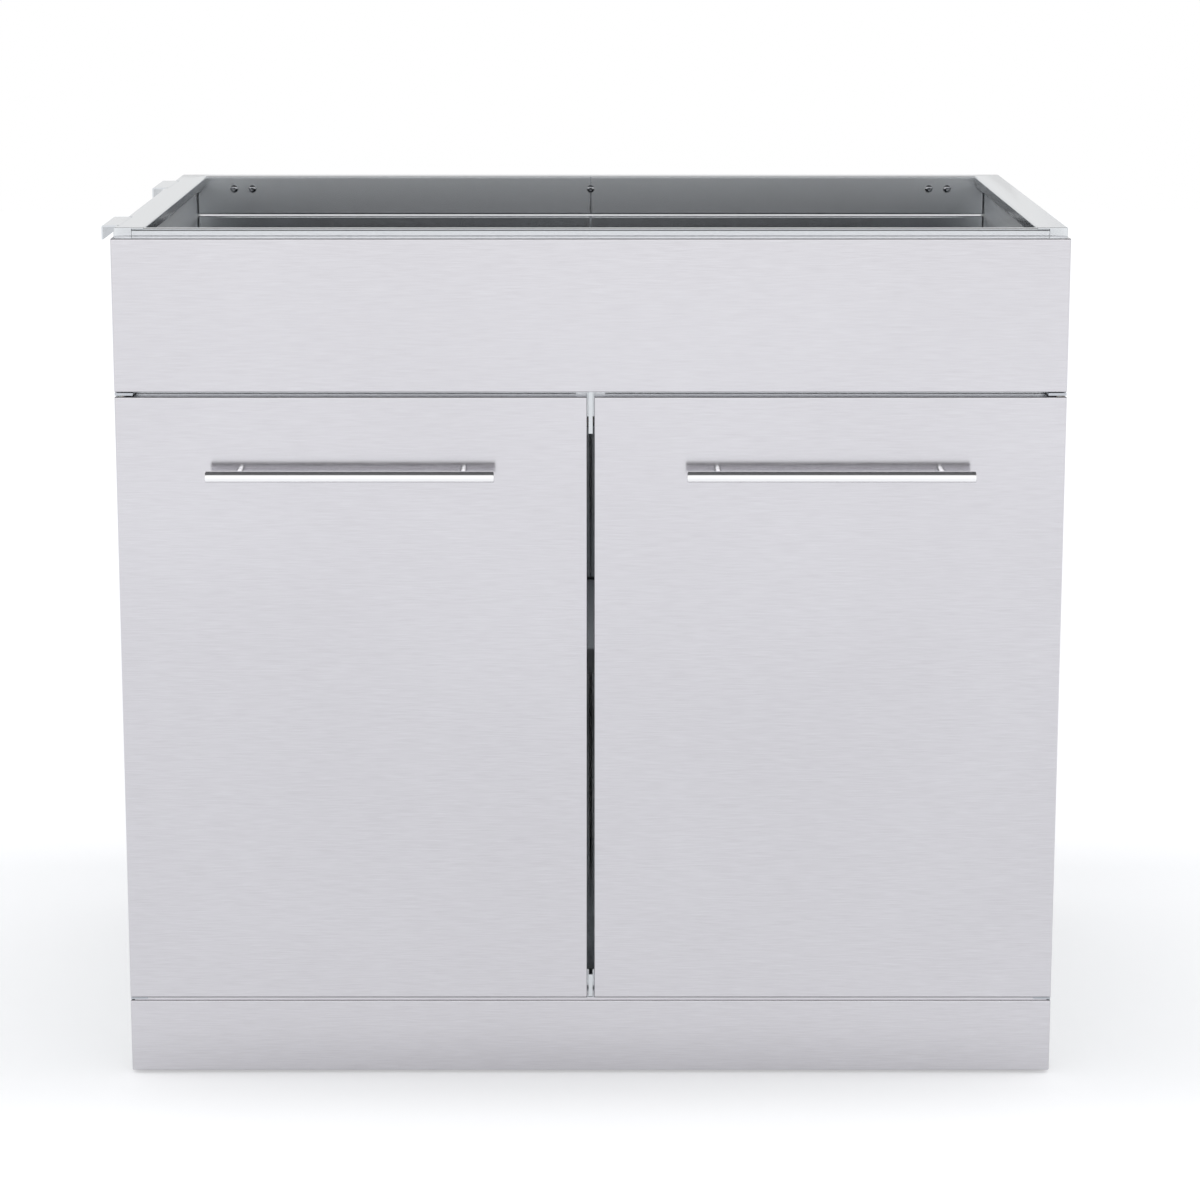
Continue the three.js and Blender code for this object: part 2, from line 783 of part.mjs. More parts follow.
function foot(y) {
  const neckTop = footPlateHeight - fit - footFloorClearance;
  const round = footPadRound;
  const profile = new THREE.Path();
  profile.moveTo(0, 0);
  profile.lineTo(footPadRadius, 0);
  profile.lineTo(footPadRadius, footPadHeight - round);
  profile.absarc(footPadRadius - round, footPadHeight - round, round, 0, Math.PI / 2);
  profile.lineTo(footNeckRadius, footPadHeight);
  profile.lineTo(footNeckRadius, neckTop);
  profile.lineTo(footStudRadius, neckTop);
  profile.lineTo(footStudRadius, neckTop + footStudLength);
  profile.lineTo(0, neckTop + footStudLength);
  const geometry = new THREE.LatheGeometry(profile.getPoints(foldSteps / arcSegmentsPerCount), footFacets);
  return toGeometry(toSolid(geometry.rotateX(Math.PI / 2).translate(footX, y, footFloorClearance)));
}

for (const [side, place] of Object.entries(sides)) {
  for (const [end, y] of Object.entries(footPlaces)) {
    add(`foot_bracket_${end}_${side}`, 'zinc', place(footBracket(y)));
    add(`levelling_foot_${end}_${side}`, 'zinc', place(foot(y)));
  }
}

export default cupboard;
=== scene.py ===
import math

import bmesh
import bpy
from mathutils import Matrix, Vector


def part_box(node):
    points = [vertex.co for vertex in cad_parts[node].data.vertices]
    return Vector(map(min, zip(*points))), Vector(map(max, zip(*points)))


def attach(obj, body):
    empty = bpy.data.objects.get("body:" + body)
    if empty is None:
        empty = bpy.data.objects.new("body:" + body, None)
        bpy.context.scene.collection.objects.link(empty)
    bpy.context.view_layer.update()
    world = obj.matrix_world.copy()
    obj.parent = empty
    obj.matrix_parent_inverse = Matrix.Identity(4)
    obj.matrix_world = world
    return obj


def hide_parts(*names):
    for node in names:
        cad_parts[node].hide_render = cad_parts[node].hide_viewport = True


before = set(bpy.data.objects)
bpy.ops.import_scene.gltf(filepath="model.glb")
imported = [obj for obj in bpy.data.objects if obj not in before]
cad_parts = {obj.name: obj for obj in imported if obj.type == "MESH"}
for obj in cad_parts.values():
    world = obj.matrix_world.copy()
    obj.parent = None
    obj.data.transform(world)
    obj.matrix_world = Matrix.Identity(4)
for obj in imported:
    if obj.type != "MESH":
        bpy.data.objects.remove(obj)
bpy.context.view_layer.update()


# Side panels
# The two sides of the cupboard, each one sheet of 1.2 mm cold rolled stainless steel with its four
# edges folded back. The top edge is wider and turns down in a small lip that worktops sit on.

mm = 0.001
sheet = 1.2 * mm
fold_radius = 1.3 * mm
fold_steps = 6
flat_margin = 0.4 * mm
corner_steps = 6
least_corner = 0.1 * mm
sharp_angle = math.radians(40)


def linear(hex_colour):
    """An sRGB colour written as hex, turned to the linear values that a shader takes."""
    channels = [int(hex_colour[i:i + 2], 16) / 255 for i in (1, 3, 5)]
    return (*[c / 12.92 if c <= 0.04045 else ((c + 0.055) / 1.055) ** 2.4 for c in channels], 1)


def add_node(tree, kind, inputs=None, **settings):
    """Adds a node with its settings. An input that is another node's output becomes a link."""
    made = tree.nodes.new(kind)
    for name, value in settings.items():
        setattr(made, name, value)
    for socket, value in (inputs or {}).items():
        if isinstance(value, bpy.types.NodeSocket):
            tree.links.new(value, made.inputs[socket])
        else:
            made.inputs[socket].default_value = value
    return made


def blank_material(name):
    """A new material and its empty node tree."""
    material = bpy.data.materials.new(name)
    material.use_nodes = True
    material.node_tree.nodes.clear()
    return material, material.node_tree


def lined_stainless(
    name, lines_along, dark, pale, roughness, unevenness, spread,
    line_width, line_length, line_depth,
):
    """Stainless steel with fine lines along its grain, which catch the light a little unevenly.

    Spread is how far the lines draw a reflection out across them.
    """
    cloud_size = 220 * mm
    cloud_share = 0.2
    noise_low, noise_high = 0.25, 0.75
    relief_strength = 0.6
    across_lines = 0.25
    stretch = [1 / (line_length if axis == lines_along else line_width) for axis in "xyz"]

    material, tree = blank_material(name)
    place = add_node(tree, "ShaderNodeTexCoord").outputs["Object"]
    along = add_node(tree, "ShaderNodeMapping", {
        "Vector": place, "Scale": stretch,
    }).outputs["Vector"]
    lines = add_node(tree, "ShaderNodeTexNoise", {
        "Vector": along, "Scale": 1, "Detail": 4, "Roughness": 0.65,
    }).outputs["Fac"]
    clouds = add_node(tree, "ShaderNodeTexNoise", {
        "Vector": place, "Scale": 1 / cloud_size, "Detail": 3, "Roughness": 0.5,
    }).outputs["Fac"]
    tone = add_node(tree, "ShaderNodeMix", {
        "Factor": cloud_share, 2: lines, 3: clouds,
    }).outputs[0]
    paleness = add_node(tree, "ShaderNodeMapRange", {
        "Value": tone, "From Min": noise_low, "From Max": noise_high,
    }).outputs["Result"]
    colour = add_node(tree, "ShaderNodeMix", {
        "Factor": paleness, 6: linear(dark), 7: linear(pale),
    }, data_type="RGBA").outputs[2]
    dulling = add_node(tree, "ShaderNodeMapRange", {
        "Value": lines, "From Min": noise_low, "From Max": noise_high,
        "To Min": roughness - unevenness, "To Max": roughness + unevenness,
    }).outputs["Result"]
    relief = add_node(tree, "ShaderNodeBump", {
        "Height": lines, "Strength": relief_strength, "Distance": line_depth,
    }).outputs["Normal"]
    grain = add_node(tree, "ShaderNodeCombineXYZ", {lines_along.upper(): 1}).outputs["Vector"]
    grain = add_node(tree, "ShaderNodeVectorTransform", {
        "Vector": grain,
    }, convert_from="OBJECT").outputs["Vector"]
    steel = add_node(tree, "ShaderNodeBsdfPrincipled", {
        "Base Color": colour, "Metallic": 1, "Roughness": dulling, "Normal": relief,
        "Anisotropic": spread, "Anisotropic Rotation": across_lines, "Tangent": grain,
    })
    add_node(tree, "ShaderNodeOutputMaterial", {"Surface": steel.outputs["BSDF"]})
    return material


def cold_rolled_stainless(
    name, rolled_along, dark="#C8CBCE", pale="#CCCFD2", roughness=0.2, spread=0,
):
    """Stainless sheet as it leaves the rolls: smooth, grey and softly mirror-like.

    Its rolling lines are long and faint.
    """
    return lined_stainless(
        name, rolled_along, dark, pale, roughness, unevenness=0.002, spread=spread,
        line_width=4 * mm, line_length=300 * mm, line_depth=0.00002 * mm,
    )


def shade(piece):
    """Round surfaces look smooth, while cut edges of the sheet stay crisp."""
    piece.data.polygons.foreach_set("use_smooth", [True] * len(piece.data.polygons))
    piece.data.set_sharp_from_angle(angle=sharp_angle)
    return piece


def piece_from_rings(name, rings):
    """A closed body through rings of points, capped at both ends."""
    body = bmesh.new()
    rows = [[body.verts.new(point) for point in ring] for ring in rings]
    for row, after in zip(rows, rows[1:]):
        for i in range(len(row)):
            j = (i + 1) % len(row)
            body.faces.new((row[i], row[j], after[j], after[i]))
    body.faces.new(rows[0])
    body.faces.new(rows[-1])
    bmesh.ops.recalc_face_normals(body, faces=body.faces)
    mesh = bpy.data.meshes.new(name)
    body.to_mesh(mesh)
    body.free()
    piece = bpy.data.objects.new(name, mesh)
    bpy.context.collection.objects.link(piece)
    return shade(piece)


def rounded_rectangle(half_width, half_height, inset, corner):
    """Points round a rectangle with round corners, its edge moved in by inset."""
    radius = max(corner - inset, least_corner)
    points = []
    for quarter, (side_u, side_v) in enumerate(((1, 1), (-1, 1), (-1, -1), (1, -1))):
        centre_u = side_u * (half_width - inset - radius)
        centre_v = side_v * (half_height - inset - radius)
        for step in range(corner_steps + 1):
            angle = math.pi / 2 * (quarter + step / corner_steps)
            points.append((
                centre_u + radius * math.cos(angle), centre_v + radius * math.sin(angle),
            ))
    return points


# For each way that a pan can face: the axes of its width, its height and its depth, and the
# direction along the last one in which its edges go back.
pan_axes = {
    "front": (0, 2, 1, 1),
    "back": (0, 2, 1, -1),
    "up": (0, 1, 2, -1),
    "left": (1, 2, 0, 1),
    "right": (1, 2, 0, -1),
}


def folded_pan(name, low, high, facing, corner):
    """A sheet with its four edges folded back, whose face looks the named way."""
    u_axis, v_axis, depth_axis, direction = pan_axes[facing]
    depth = high[depth_axis] - low[depth_axis]
    face = low[depth_axis] if direction > 0 else high[depth_axis]
    flat = fold_radius + flat_margin
    bends = [math.pi / 2 * step / fold_steps for step in range(fold_steps + 1)]

    def bend_stops(radius):
        return [
            (fold_radius - radius * math.sin(bend), fold_radius - radius * math.cos(bend))
            for bend in bends
        ]

    stops = [(flat, 0), *bend_stops(fold_radius), (0, flat), (0, depth), (sheet, depth)]
    stops += [(sheet, flat), *reversed(bend_stops(fold_radius - sheet)), (flat, sheet)]
    rings = []
    for inset, sunk in stops:
        ring = []
        outline = rounded_rectangle(
            (high[u_axis] - low[u_axis]) / 2, (high[v_axis] - low[v_axis]) / 2, inset, corner,
        )
        for u, v in outline:
            point = (low + high) / 2
            point[u_axis] += u
            point[v_axis] += v
            point[depth_axis] = face + direction * sunk
            ring.append(point)
        rings.append(ring)
    return piece_from_rings(name, rings)


def folded_strip(name, path, thickness, radius, along, start, end):
    """Sheet folded along a path of (across, up) points and drawn out along x or y."""
    points = [Vector(point) for point in path]

    def straight_part(first, last):
        """What a leg of the path has left between its folds."""
        folds = (first > 0) + (last < len(points) - 1)
        return (points[last] - points[first]).length - radius * folds

    def drawn_to(point, place):
        return (place, point.x, point.y) if along == "x" else (point.x, place, point.y)

    stops = []
    for i, point in enumerate(points):
        before = (point - points[i - 1]).normalized() if i > 0 else None
        after = (points[i + 1] - point).normalized() if i < len(points) - 1 else None
        if before is None or after is None:
            stops.append((point, before or after))
            continue
        turn = -before.angle_signed(after)
        setback = radius * math.tan(abs(turn) / 2)
        inward = Vector((-before.y, before.x)) * math.copysign(1, turn)
        centre = point - before * setback + inward * radius
        margin = min(flat_margin, straight_part(i - 1, i) / 2, straight_part(i, i + 1) / 2)
        stops.append((point - before * (setback + margin), before))
        for step in range(fold_steps + 1):
            turned = turn * step / fold_steps
            heading = Vector((
                before.x * math.cos(turned) - before.y * math.sin(turned),
                before.x * math.sin(turned) + before.y * math.cos(turned),
            ))
            outward = Vector((heading.y, -heading.x)) * math.copysign(1, turn)
            stops.append((centre + outward * radius, heading))
        stops.append((point + after * (setback + margin), after))
    edges = [
        [point + Vector((-heading.y, heading.x)) * side for point, heading in stops]
        for side in (thickness / 2, -thickness / 2)
    ]
    section = [*edges[0], *reversed(edges[1])]
    rings = [[Vector(drawn_to(point, place)) for point in section] for place in (start, end)]
    return piece_from_rings(name, rings)


def block(low, high):
    """A plain block that is only used to cut other pieces or to be welded on to them."""
    corners = [Vector((x, y, low[2])) for x, y in (
        (low[0], low[1]), (high[0], low[1]), (high[0], high[1]), (low[0], high[1]),
    )]
    rise = Vector((0, 0, high[2] - low[2]))
    return piece_from_rings("block", [corners, [corner + rise for corner in corners]])


def reshape(piece, tool, operation="DIFFERENCE"):
    """Cuts the tool's shape out of the piece, or welds it on."""
    change = piece.modifiers.new("reshape", "BOOLEAN")
    change.solver = "EXACT"
    change.operation = operation
    change.object = tool
    graph = bpy.context.evaluated_depsgraph_get()
    mesh = bpy.data.meshes.new_from_object(piece.evaluated_get(graph))
    piece.modifiers.clear()
    piece.data = mesh
    bpy.data.objects.remove(tool)
    return shade(piece)


def hang(piece, material, slot, body, *nodes):
    """Finishes a piece, ties it to its body and lets it stand for its CAD nodes."""
    piece.data.materials.clear()
    piece.data.materials.append(material)
    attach(piece, body)
    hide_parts(*nodes)


def sign_of(side):
    """The direction along x in which a side lies from the middle."""
    return -1 if side == "left" else 1


rolled_along_y = cold_rolled_stainless("stainless_cold_rolled_along_y", "y")
panel_corner = 0.4 * mm
stile_width = 17 * mm
lip_height = 10 * mm
lip_fold = 1.6 * mm
lip_front = 6 * mm
lip_rear = 25.3 * mm
edge_width = fold_radius * 2
hook_sheet = 1.5 * mm
hook_step = 2.5 * mm
hook_relief = 3 * mm
fit = 0.3 * mm  # between two pieces that are fastened to each other
beyond = 5 * mm  # how far a cutting block reaches past what it cuts

for side in ("left", "right"):
    low, high = map(Vector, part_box(f"side_panel_{side}"))
    outward = sign_of(side)
    outer, inner = (high.x, low.x) if outward > 0 else (low.x, high.x)
    stile_edge = outer - outward * stile_width
    edge = inner + outward * edge_width
    past_inner = inner - outward * beyond
    under = high.z - fold_radius
    panel = folded_pan(f"panel_{side}", low, high, side, panel_corner)
    narrowed = sorted((past_inner, stile_edge))
    reshape(panel, block(
        (narrowed[0], low.y - beyond, low.z - beyond), (narrowed[1], high.y + beyond, under),
    ))
    edge_strip = sorted((past_inner, edge))
    lip_start = low.y + lip_front
    lip_end = high.y - lip_rear
    reshape(panel, block(
        (edge_strip[0], lip_start, under - fit), (edge_strip[1], lip_end, high.z + beyond),
    ))
    middle = sheet / 2
    lip = folded_strip("lip", [
        (edge, high.z - middle),
        (inner + outward * middle, high.z - middle),
        (inner + outward * middle, high.z - lip_height),
    ], sheet, lip_fold, "y", lip_start, lip_end)
    reshape(panel, lip, "UNION")
    if side == "left":
        for place in ("front", "rear"):
            hook_low, hook_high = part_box(f"joining_hook_{place}")
            reshape(panel, block(
                (low.x - beyond, hook_low[1] - hook_relief, high.z - hook_sheet - fit),
                (low.x + hook_step * 2 + fit, hook_high[1] + fit, high.z + beyond),
            ))
    hang(panel, rolled_along_y, "cold_rolled_stainless", "cabinet", f"side_panel_{side}")


# Side liners
# The inner skin of each side, a second folded sheet nested in the panel. It is rolled harder, with
# lines that blur what it mirrors. Its colour, paler than the other sheets', is painted light for
# the light from above on the inner walls. Rows of punched holes take the shelf supports.

liner_corner = 0.8 * mm
hole_radius = 2.8 * mm
hole_rows = 3
hole_pitch = 64 * mm
hole_drop = 5 * mm
hole_facets = 24
hole_reach = fold_radius * 3


def round_section(centre, radius, axis, facets):
    """Points round a circle that stands across the named axis."""
    points = []
    for i in range(facets):
        angle = math.tau * i / facets
        offset = [radius * math.cos(angle), radius * math.sin(angle)]
        offset.insert(axis, 0)
        points.append(Vector(centre) + Vector(offset))
    return points


def drill(centre, radius, axis, reach):
    """A rod that is only used to cut a round hole along an axis."""
    step = Vector((0, 0, 0))
    step[axis] = reach
    return piece_from_rings("drill", [
        round_section(Vector(centre) + step * end, radius, axis, hole_facets) for end in (-1, 1)
    ])


# Its colour is paler than the other sheets': painted light on the inner walls.
strongly_rolled_painted_light = cold_rolled_stainless(
    "stainless_strongly_rolled", "y", dark="#DCDFE2", pale="#E2E5E8", roughness=0.5, spread=1,
)
shelf_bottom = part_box("shelf")[0][2]
for side, faces, face_at in (("left", "right", 1), ("right", "left", 0)):
    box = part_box(f"side_liner_{side}")
    liner = folded_pan(f"liner_{side}", *map(Vector, box), faces, liner_corner)
    for place in ("front", "rear"):
        support_low, support_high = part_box(f"shelf_support_{place}_{side}")
        for row in range(hole_rows):
            centre = (
                box[face_at][0],
                (support_low[1] + support_high[1]) / 2,
                shelf_bottom - hole_drop + (row - 1) * hole_pitch,
            )
            reshape(liner, drill(centre, hole_radius, 0, hole_reach))
    hang(liner, strongly_rolled_painted_light, "cold_rolled_stainless", "cabinet", f"side_liner_{side}")


# Rear wall
# A top rail over a back panel, each in two halves that meet in the middle. All four are folded
# pans of the same sheet, and the panels sit a sheet's thickness behind the rails.

wall_corner = 0.5 * mm
half_gap = 0.29 * mm
rolled_upright = cold_rolled_stainless("stainless_cold_rolled_upright", "z")
dulled_upright = cold_rolled_stainless("stainless_dulled_upright", "z", roughness=0.265)
liner_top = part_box("side_liner_right")[1][2]


def half_wall(name, node, side):
    """Half a rail or panel, drawn up to the other half, so that no light comes through the seam."""
    low, high = map(Vector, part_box(node))
    if side == "left":
        high.x += half_gap
    else:
        low.x -= half_gap
    return folded_pan(name, low, high, "front", wall_corner)


for side in ("left", "right"):
    node = f"back_top_rail_{side}"
    rail = half_wall(f"rear_rail_{side}", node, side)
    rail_low, rail_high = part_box(node)
    panel_low, panel_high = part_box(f"side_panel_{side}")
    reshape(rail, block(
        (panel_low[0], rail_low[1] - beyond, liner_top + fit),
        (panel_high[0], rail_high[1] + beyond, panel_high[2] + beyond),
    ))
    hang(rail, dulled_upright, "cold_rolled_stainless", "cabinet", node)
    node = f"back_panel_{side}"
    back = half_wall(f"rear_panel_{side}", node, side)
    hang(back, rolled_upright, "cold_rolled_stainless", "cabinet", node)


# Front rails
# Two channels that tie the sides together. The top one has a joggled edge over the fascia, and the
# middle one closes the slot between the fascia and the doors.

rail_fold = 1.6 * mm
rail_flange = 8 * mm
rail_lip = 10 * mm
joggle_fold = 0.65 * mm
joggle_run = 2 * mm
joggle_height = 1.4 * mm
rolled_along_x = cold_rolled_stainless("stainless_cold_rolled_along_x", "x")
liner_faces = [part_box("side_liner_left")[1][0] + fit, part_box("side_liner_right")[0][0] - fit]


def fit_between_sides(rail, low, high, top):
    """Below top, the part of a rail behind its web is cut shorter, to go between the liners."""
    for start, end in ((low.x - beyond, liner_faces[0]), (liner_faces[1], high.x + beyond)):
        reshape(rail, block((start, low.y + sheet, low.z - beyond), (end, high.y + beyond, top)))


low, high = map(Vector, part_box("front_top_rail"))
front, rear = low.y + sheet / 2, high.y - sheet / 2
bottom, top = low.z + sheet / 2, high.z - sheet / 2
ledge = top - joggle_height
top_rail = folded_strip("top_rail", [
    (rear, low.z + rail_lip),
    (rear, bottom),
    (front, bottom),
    (front, ledge),
    (front + joggle_run, ledge),
    (front + joggle_run, top),
    (front + joggle_run + rail_flange, top),
], sheet, joggle_fold, "x", low.x, high.x)
fit_between_sides(top_rail, low, high, ledge - sheet)
hang(top_rail, rolled_along_x, "cold_rolled_stainless", "cabinet", "front_top_rail")

low, high = map(Vector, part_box("front_mid_rail"))
front, rear = low.y + sheet / 2, high.y - sheet / 2
bottom, top = low.z + sheet / 2, high.z - sheet / 2
mid_rail = folded_strip("mid_rail", [
    (rear, low.z + rail_lip),
    (rear, bottom),
    (front, bottom),
    (front, top),
    (rear, top),
], sheet, rail_fold, "x", low.x, high.x)
fit_between_sides(mid_rail, low, high, high.z + beyond)
hang(mid_rail, rolled_along_x, "cold_rolled_stainless", "cabinet", "front_mid_rail")


# Floor panel and shelf
# Two folded pans that lie face up between the liners. The floor is fixed and rolled smooth, and
# the duller shelf rests loose on its supports.

tray_corner = 2.5 * mm
smooth_rolled = cold_rolled_stainless("stainless_smooth_rolled", "x", roughness=0.12)
dull_rolled = cold_rolled_stainless("stainless_dull_rolled", "x", roughness=0.5)

for node, name, finish in (
    ("floor_panel", "cupboard_floor", smooth_rolled),
    ("shelf", "shelf_pan", dull_rolled),
):
    tray = folded_pan(name, *map(Vector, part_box(node)), "up", tray_corner)
    hang(tray, finish, "cold_rolled_stainless", "cabinet", node)


# Plinth and fascia
# The board at the foot and the fixed front over the doors, folded pans in the plane of the doors
# and brushed as they are. A low lip on the plinth shows as a pale line in the gap under the doors.

front_corner = 1.2 * mm
gap_lip_height = 2.3 * mm
gap_lip_setback = 1.9 * mm
gap_lip_ends = 4 * mm


def brushed_stainless(name):
    """Stainless sheet drawn under an abrasive belt: a soft satin sheen with short fine lines.

    The real lines are about 0.1 mm wide. They are drawn 0.9 mm wide here, so that they show.
    """
    return lined_stainless(
        name, "x", dark="#C2C0C4", pale="#D2D1D5", roughness=0.17, unevenness=0.03, spread=0.5,
        line_width=0.9 * mm, line_length=26 * mm, line_depth=0.001 * mm,
    )


brushed = brushed_stainless("stainless_brushed")

for node, name in (("plinth_panel", "plinth"), ("fascia_panel", "fascia")):
    low, high = map(Vector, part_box(node))
    board = folded_pan(name, low, high, "front", front_corner)
    if name == "plinth":
        lip_face = low.y + gap_lip_setback
        reshape(board, block(
            (low.x + gap_lip_ends, lip_face, high.z - sheet / 2),
            (high.x - gap_lip_ends, lip_face + sheet, high.z + gap_lip_height),
        ), "UNION")
    hang(board, brushed, "brushed_stainless", "cabinet", node)


# Brackets
# Small zinc plated angles that hold the plinth and the fascia to the frame behind them.

def zinc_plated_steel(name):
    """Pressed steel, zinc plated: a cool grey with a fine spangle and a few duller patches."""
    spangle_size = 1.5 * mm
    spangle_depth = 0.02 * mm
    relief_strength = 0.3
    patch_size = 12 * mm
    noise_low, noise_high = 0.3, 0.7
    bright, dull = 0.3, 0.46

    material, tree = blank_material(name)
    place = add_node(tree, "ShaderNodeTexCoord").outputs["Object"]
    spangle = add_node(tree, "ShaderNodeTexVoronoi", {
        "Vector": place, "Scale": 1 / spangle_size,
    }, feature="SMOOTH_F1").outputs["Distance"]
    patches = add_node(tree, "ShaderNodeTexNoise", {
        "Vector": place, "Scale": 1 / patch_size, "Detail": 3,
    }).outputs["Fac"]
    colour = add_node(tree, "ShaderNodeMix", {
        "Factor": patches, 6: linear("#A9ADB3"), 7: linear("#C6C9CE"),
    }, data_type="RGBA").outputs[2]
    dulling = add_node(tree, "ShaderNodeMapRange", {
        "Value": patches, "From Min": noise_low, "From Max": noise_high,
        "To Min": bright, "To Max": dull,
    }).outputs["Result"]
    relief = add_node(tree, "ShaderNodeBump", {
        "Height": spangle, "Strength": relief_strength, "Distance": spangle_depth,
    }).outputs["Normal"]
    steel = add_node(tree, "ShaderNodeBsdfPrincipled", {
        "Base Color": colour, "Metallic": 1, "Roughness": dulling, "Normal": relief,
    })
    add_node(tree, "ShaderNodeOutputMaterial", {"Surface": steel.outputs["BSDF"]})
    return material


def dress(name, material):
    """Gives a CAD node its finish."""
    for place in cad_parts[name].material_slots:
        place.material = material


zinc = zinc_plated_steel("zinc_plated_steel")
for side in ("left", "right"):
    dress(f"plinth_bracket_{side}", zinc)
    dress(f"fascia_bracket_{side}", zinc)


# Doors
# Each door is a skin and a shallow liner, two folded pans nested back to back. A zinc plated strike
# plate on the liner meets the magnet.

door_liner_corner = 2.4 * mm
pivot_hole = 4 * mm
pivot_hole_reach = fold_radius * 2

for side in ("left", "right"):
    body = f"door_{side}"
    low, high = map(Vector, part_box(f"door_skin_{side}"))
    skin = folded_pan(f"door_face_{side}", low, high, "front", front_corner)
    for level, edge in (("top", high.z), ("bottom", low.z)):
        bush_low, bush_high = map(Vector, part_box(f"pivot_bush_{level}_{side}"))
        centre = (bush_low + bush_high) / 2
        centre.z = edge
        reshape(skin, drill(centre, pivot_hole, 2, pivot_hole_reach))
    hang(skin, brushed, "brushed_stainless", body, f"door_skin_{side}")
    node = f"door_liner_{side}"
    liner = folded_pan(f"door_back_{side}", *map(Vector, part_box(node)), "back", door_liner_corner)
    hang(liner, smooth_rolled, "cold_rolled_stainless", body, node)
    dress(f"strike_plate_{side}", zinc)


# Handles
# A polished stainless bar on two turned posts, screwed on from inside the door.

bar_facets = 64
bar_end_round = 1.2 * mm
bar_end_flat = bar_end_round * 2
round_steps = 5
post_facets = 32
post_radius = 3.5 * mm
post_sink = 1.5 * mm


def polished_stainless(name):
    """Stainless bar buffed to a mirror: sharp reflections with the faintest polishing haze."""
    haze_size = 3 * mm
    noise_low, noise_high = 0.3, 0.7
    sharp, hazy = 0.04, 0.09

    material, tree = blank_material(name)
    place = add_node(tree, "ShaderNodeTexCoord").outputs["Object"]
    haze = add_node(tree, "ShaderNodeTexNoise", {
        "Vector": place, "Scale": 1 / haze_size, "Detail": 4,
    }).outputs["Fac"]
    dulling = add_node(tree, "ShaderNodeMapRange", {
        "Value": haze, "From Min": noise_low, "From Max": noise_high,
        "To Min": sharp, "To Max": hazy,
    }).outputs["Result"]
    colour = add_node(tree, "ShaderNodeMix", {
        "Factor": haze, 6: linear("#EDEDEE"), 7: linear("#F3F3F4"),
    }, data_type="RGBA").outputs[2]
    steel = add_node(tree, "ShaderNodeBsdfPrincipled", {
        "Base Color": colour, "Metallic": 1, "Roughness": dulling,
    })
    add_node(tree, "ShaderNodeOutputMaterial", {"Surface": steel.outputs["BSDF"]})
    return material


def turned(name, start, axis, stops, facets):
    """A turned piece from (distance along the axis, radius) stops."""
    rings = []
    for distance, radius in stops:
        centre = Vector(start)
        centre[axis] += distance
        rings.append(round_section(centre, radius, axis, facets))
    return piece_from_rings(name, rings)


def rounded_edge(distance, radius, direction):
    """Stops round the edge of a bar's end, from the flat end to the side."""
    stops = []
    for step in range(round_steps + 1):
        angle = math.pi / 2 * step / round_steps
        stops.append((
            distance + direction * bar_end_round * (1 - math.cos(angle)),
            radius - bar_end_round * (1 - math.sin(angle)),
        ))
    return stops


polished = polished_stainless("stainless_polished")

for side in ("left", "right"):
    body = f"door_{side}"
    low, high = map(Vector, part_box(f"handle_bar_{side}"))
    centre = (low + high) / 2
    length = high.x - low.x
    radius = (high.z - low.z) / 2
    stops = [
        (0, radius - bar_end_flat),
        *rounded_edge(0, radius, 1),
        (bar_end_flat, radius),
        (length - bar_end_flat, radius),
        *reversed(rounded_edge(length, radius, -1)),
        (length, radius - bar_end_flat),
    ]
    bar = turned(f"bar_{side}", (low.x, centre.y, centre.z), 0, stops, bar_facets)
    hang(bar, polished, "polished_stainless", body, f"handle_bar_{side}")
    for end in ("inner", "outer"):
        node = f"handle_post_{end}_{side}"
        post_low, post_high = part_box(node)
        start = ((post_low[0] + post_high[0]) / 2, post_high[1], centre.z)
        reach = post_high[1] - (centre.y + radius) + post_sink
        stops = [(0, post_radius), (-reach, post_radius)]
        post = turned(f"post_{end}_{side}", start, 1, stops, post_facets)
        hang(post, polished, "polished_stainless", body, node)


# Pivot hinges
# A zinc plated bracket and pin on the frame and a moulded nylon bush in the door, at the top and
# the bottom of each door.

def moulded_nylon(name):
    """Nylon as it comes from the mould: milky white, softly shiny and faintly see-through."""
    grain_size = 0.6 * mm
    grain_depth = 0.03 * mm
    relief_strength = 0.4
    flow_size = 9 * mm

    material, tree = blank_material(name)
    place = add_node(tree, "ShaderNodeTexCoord").outputs["Object"]
    grain = add_node(tree, "ShaderNodeTexNoise", {
        "Vector": place, "Scale": 1 / grain_size, "Detail": 2,
    }).outputs["Fac"]
    flow = add_node(tree, "ShaderNodeTexNoise", {
        "Vector": place, "Scale": 1 / flow_size, "Detail": 2,
    }).outputs["Fac"]
    colour = add_node(tree, "ShaderNodeMix", {
        "Factor": flow, 6: linear("#DEDDD6"), 7: linear("#E9E8E2"),
    }, data_type="RGBA").outputs[2]
    relief = add_node(tree, "ShaderNodeBump", {
        "Height": grain, "Strength": relief_strength, "Distance": grain_depth,
    }).outputs["Normal"]
    nylon = add_node(tree, "ShaderNodeBsdfPrincipled", {
        "Base Color": colour, "Roughness": 0.42, "IOR": 1.53, "Normal": relief,
        "Subsurface Weight": 0.15, "Subsurface Scale": 1 * mm,
    })
    add_node(tree, "ShaderNodeOutputMaterial", {"Surface": nylon.outputs["BSDF"]})
    return material


nylon = moulded_nylon("nylon_moulded")
for side in ("left", "right"):
    for level in ("top", "bottom"):
        dress(f"pivot_bracket_{level}_{side}", zinc)
        dress(f"pivot_pin_{level}_{side}", zinc)
        dress(f"pivot_bush_{level}_{side}", nylon)


# Door stops and catch
# Thin bright fins stand in the gap between the doors, on plates that the doors close against. A
# double magnet in a nylon case hangs under the middle rail.

for level in ("top", "bottom"):
    dress(f"door_stop_{level}", rolled_along_x)
dress("magnetic_catch", nylon)


# Shelf supports
# Nylon pegs with a small pad, pushed into the holes of the liners.

